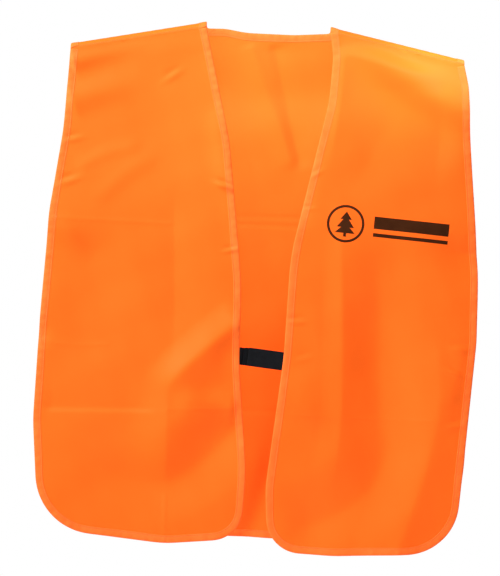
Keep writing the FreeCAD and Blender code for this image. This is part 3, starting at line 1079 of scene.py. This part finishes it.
def tab_stitching(name, node, body):
    """A box of stitches with one diagonal across it, on the tab's inner face."""
    low, high = tab_box(node)
    u0, w0, out = low + [BOX_IN, BOX_IN, BOX_DEEP]
    u1, w1 = high[:2] - BOX_IN
    corners = [(u0, w0), (u1, w0), (u1, w1), (u0, w1), (u0, w0), (u1, w1)]
    starts = []
    ends = []
    for a, b in zip(corners, corners[1:]):
        a = np.array([*a, out])
        b = np.array([*b, out])
        count = max(1, int(np.linalg.norm(b - a) / BOX_PITCH))
        for i in range(count):
            starts.append((a + (b - a) * (i + STITCH_START) / count) @ TAB_AXES)
            ends.append((a + (b - a) * (i + 1 - STITCH_START) / count) @ TAB_AXES)
    made = stitch_mesh(name, starts, ends, [-TAB_AXES[2]] * len(starts))
    finish_piece(made, THREAD_BLACK, "black_thread", node)
    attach(made, body)


def patch_base(node, outer_side, share):
    """The woven ground of a patch, which fills part of its node's thickness, and its surface."""
    low, high = tab_box(node)
    thick = (high[2] - low[2]) * share
    bottom = low[2] if outer_side < 0 else high[2]
    middle = bottom - outer_side * thick / 2
    path = tab_path(low, high, [(low[0], middle), (high[0], middle)])
    base = band(node + "_ground", path, *TAB_AXES[1:], high[1] - low[1], thick, *GROUND_WEAVE)
    return base, low, high, bottom - outer_side * thick


def build_hook_patch():
    """Plastic hooks that face the wearer, in staggered rows."""
    base, low, high, surface = patch_base("hook_patch", 1, share=0.45)
    reach = surface - low[2]
    left, bottom = low[:2] + HOOK_MARGIN_LOW
    right, top = high[:2] - HOOK_MARGIN_HIGH
    paths = []
    for row, w in enumerate(np.arange(bottom, top, HOOK_PITCH)):
        lean = 1 if row % 2 else -1
        for u in np.arange(left + (row % 2) * HOOK_PITCH / 2, right, HOOK_PITCH):
            paths.append([np.array([u + aside * lean, w, surface - rise * reach]) @ TAB_AXES
                          for aside, rise in HOOK_SHAPE])
    hooks = fine_tubes("hook_rows", paths, HOOK_RADIUS)
    made = joined("hook_patch_hooks", [base, hooks])
    finish_piece(made, HOOKS, "hook_pile", "hook_patch")
    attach(made, "hook_tab")


def build_loop_patch():
    """A nap of small loops that faces the hooks."""
    base, low, high, surface = patch_base("loop_patch", -1, share=0.5)
    reach = high[2] - surface
    rng = np.random.default_rng(PILE_SEED)
    paths = []
    for _ in range(PILE_LOOPS):
        u, w = rng.uniform(low[:2] + PILE_MARGIN, high[:2] - PILE_MARGIN)
        turn = rng.uniform(0, math.pi)
        wide = rng.uniform(*PILE_WIDE)
        tall = rng.uniform(*PILE_TALL) * reach
        arc = []
        for angle in np.linspace(0, math.pi, PILE_POINTS):
            side = math.cos(angle) * wide
            arc.append(np.array([u + side * math.cos(turn), w + side * math.sin(turn),
                                 surface + math.sin(angle) * tall]) @ TAB_AXES)
        paths.append(arc)
    made = joined("loop_patch_pile", [base, fine_tubes("loop_rows", paths, PILE_RADIUS, 4)])
    finish_piece(made, LOOP_PILE, "loop_pile", "loop_patch")
    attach(made, "loop_tab")


def build_tabs():
    low, high = tab_box("hook_tab_sewn_end", "hook_tab_free_end")
    middle = (low[2] + high[2]) / 2
    path = tab_path(low, high, [(high[0], middle), (low[0], middle)])
    hook = band("hook_tab", path, *TAB_AXES[1:], *(high - low)[1:], *TAB_WEAVE)
    finish_piece(hook, WEBBING, "black_webbing", "hook_tab_sewn_end", "hook_tab_free_end")
    blend_tab(hook)
    sewn_low, sewn_high = tab_box("loop_tab_sewn_end")
    low, high = tab_box("loop_tab_free_end")
    thick = sewn_high[2] - sewn_low[2]
    sewn = (sewn_low[2] + sewn_high[2]) / 2
    high[1] -= LOOP_TAB_TRIM
    free = low[2] + thick / 2
    runs = [(sewn_low[0], sewn), (low[0], sewn), (low[0] + LOOP_TAB_RISE, free), (high[0], free)]
    path = tab_path(low, high, runs)
    loop = band("loop_tab", path, *TAB_AXES[1:], high[1] - low[1], thick, *TAB_WEAVE)
    finish_piece(loop, WEBBING, "black_webbing", "loop_tab_sewn_end", "loop_tab_free_end")
    blend_tab(loop)
    tab_stitching("hook_tab_box_stitches", "hook_tab_stitching", "left_flap")
    tab_stitching("loop_tab_box_stitches", "loop_tab_stitching", "right_flap")
    build_hook_patch()
    build_loop_patch()


build_tabs()


# --- side straps and their tacks

STRAP_THICK = 1.2
STRAP_ROUND = 4.4
STRAP_LAP = 9.0
STRAP_FLARE = 0.2
STRAP_STEP = 0.7
ROUND_POINTS = 15


def strap_path(hand, low, high):
    """Along the folded strap: a flat lap, the slope in, the round fold, and the same back."""
    tip, edge = (corner.x / MM for corner in (low, high)[::hand])
    mouth = high.y / MM - STRAP_THICK / 2
    centre = tip + hand * (STRAP_ROUND + STRAP_THICK / 2)
    lap_x = edge - hand * STRAP_LAP
    reach = math.hypot(lap_x - centre, mouth)
    touch = math.atan2(mouth, abs(lap_x - centre)) + math.acos(STRAP_ROUND / reach)
    side = [(edge, mouth + STRAP_FLARE), (lap_x, mouth)]
    turns = np.linspace(touch, 2 * math.pi - touch, ROUND_POINTS)
    arc = [(centre + hand * STRAP_ROUND * math.cos(t), STRAP_ROUND * math.sin(t)) for t in turns]
    line = side + arc + [(x, -y) for x, y in reversed(side)]
    line = evenly(flowing(line, 2), STRAP_STEP)
    height = (low.z + high.z) / 2 / MM
    return np.insert(line, 2, height, axis=1)


def build_straps():
    for name, hand in HANDS.items():
        low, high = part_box(name + "_side_strap")
        path = strap_path(hand, low, high)
        made = band(name + "_elastic_strap", path, (0, 0, 1), (0, 1, 0), (high.z - low.z) / MM,
                    STRAP_THICK, *STRAP_WEAVE)
        finish_piece(made, ELASTIC, "elastic", name + "_side_strap")
        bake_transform(made)


TACK_PITCH = 0.8
TACK_MARGIN = 0.4
TACK_LIFT = 0.95


def build_tacks():
    """Close bars of stitches where the straps are sewn in."""
    for node, body in (("strap_front_tacks", "fronts"), ("strap_back_tacks", "back")):
        starts = []
        ends = []
        outs = []
        for name, hand in HANDS.items():
            own = node_points(node)
            own = own[own[:, 0] * hand > 0]
            low = own.min(0)
            high = own.max(0)
            heights = np.arange(low[2] + TACK_MARGIN, high[2] - TACK_MARGIN, TACK_PITCH)
            sheet = SHEETS.get(body, SHEETS[name])
            same = np.ones(len(heights))
            starts += list(sheet.hung(same * low[0], heights, same * TACK_LIFT))
            ends += list(sheet.hung(same * high[0], heights + TACK_PITCH / 2, same * TACK_LIFT))
            outs += [(0, sheet.side, 0)] * len(heights)
        made = stitch_mesh(node + "_stitches", starts, ends, outs)
        finish_piece(made, THREAD_ORANGE, "thread", node)
        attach(made, body)


build_straps()
build_tacks()


# --- camera, light, floor

PICTURE_TALL = 0.795
CAMERA_AWAY = 3.0
CAMERA_ROLL = math.radians(2.5)
CAMERA_LOOKS_AT = (-0.0102, -0.018, -0.3665)
SENSOR_WIDE = 36.0
SURROUNDING_LIGHT = 0.20
WHITE = (1, 1, 1, 1)


def build_camera():
    """Square on to the front, turned a little so that the vest hangs slightly clockwise."""
    lens = bpy.data.cameras.new("camera")
    lens.sensor_width = SENSOR_WIDE
    lens.lens = SENSOR_WIDE * CAMERA_AWAY / PICTURE_TALL
    camera = placed("camera", lens)
    right = Vector((math.cos(CAMERA_ROLL), 0, math.sin(CAMERA_ROLL)))
    up = Vector((-math.sin(CAMERA_ROLL), 0, math.cos(CAMERA_ROLL)))
    back = Vector((0, -1, 0))
    spin = Matrix((right, up, back)).transposed().to_4x4()
    camera.matrix_world = Matrix.Translation(Vector(CAMERA_LOOKS_AT) + back * CAMERA_AWAY) @ spin
    bpy.context.scene.camera = camera


def lamp(name, kind, place, target, energy, shadow):
    data = bpy.data.lights.new(name, kind)
    data.energy = energy
    data.use_shadow = shadow
    made = placed(name, data)
    made.location = place
    made.rotation_euler = (Vector(target) - Vector(place)).to_track_quat("-Z", "Y").to_euler()
    return data


def soft_sun(name, come_from, strength, degrees, shadow=True):
    """A far, wide studio light."""
    lamp(name, "SUN", come_from, (0, 0, 0), strength, shadow).angle = math.radians(degrees)


def soft_spot(name, place, target, watts, degrees, radius=0.25):
    """A light from nearby, with a soft edge and no shadow."""
    data = lamp(name, "SPOT", place, target, watts, False)
    data.spot_size = math.radians(degrees)
    data.spot_blend = 1.0
    data.shadow_soft_size = radius


def build_world():
    """White to the camera, and a softer white for lighting."""
    world = bpy.data.worlds.new("studio")
    world.use_nodes = True
    bpy.context.scene.world = world
    nodes = world.node_tree.nodes
    links = world.node_tree.links
    nodes.clear()
    output = nodes.new("ShaderNodeOutputWorld")
    mix = nodes.new("ShaderNodeMixShader")
    seen = nodes.new("ShaderNodeBackground")
    lit = nodes.new("ShaderNodeBackground")
    path = nodes.new("ShaderNodeLightPath")
    for light, strength in ((seen, 1.0), (lit, SURROUNDING_LIGHT)):
        light.inputs["Color"].default_value = WHITE
        light.inputs["Strength"].default_value = strength
    links.new(path.outputs["Is Camera Ray"], mix.inputs["Fac"])
    links.new(lit.outputs[0], mix.inputs[1])
    links.new(seen.outputs[0], mix.inputs[2])
    links.new(mix.outputs[0], output.inputs["Surface"])


FLOOR_DROP = 0.42
FLOOR_RADIUS = 2.5


def build_floor():
    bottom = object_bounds()[0].z - FLOOR_DROP
    bpy.ops.mesh.primitive_circle_add(vertices=96, radius=FLOOR_RADIUS, fill_type="NGON",
                                      location=(0, 0, bottom))
    floor = bpy.context.object
    floor.name = "floor"
    made, nodes, links, shader = material("pale_floor")
    colour_spread(nodes, links, shader, (0.80, 0.80, 0.80), (0.84, 0.84, 0.84), 3.0)
    shader.inputs["Roughness"].default_value = 0.9
    floor.data.materials.append(made)


build_camera()
build_world()
build_floor()
soft_sun("key", (-0.80, -0.42, 0.42), 1.0, 26)
soft_spot("key_open", (-1.8, -1.0, 1.0), (-0.05, 0.0, -0.30), 450, 50)
soft_sun("fill", (0.20, -0.85, -0.25), 0.4, 60, shadow=False)
soft_sun("back", (0.60, 0.70, 0.36), 3.4, 30)
soft_spot("shoulder", (0.85, -0.85, 0.62), (0.25, 0.0, -0.025), 180, 10.5, 0.06)
soft_spot("neck", (0.25, -0.95, 0.75), (0.03, 0.0, -0.04), 70, 20, 0.12)
bpy.context.scene.view_settings.view_transform = "Standard"
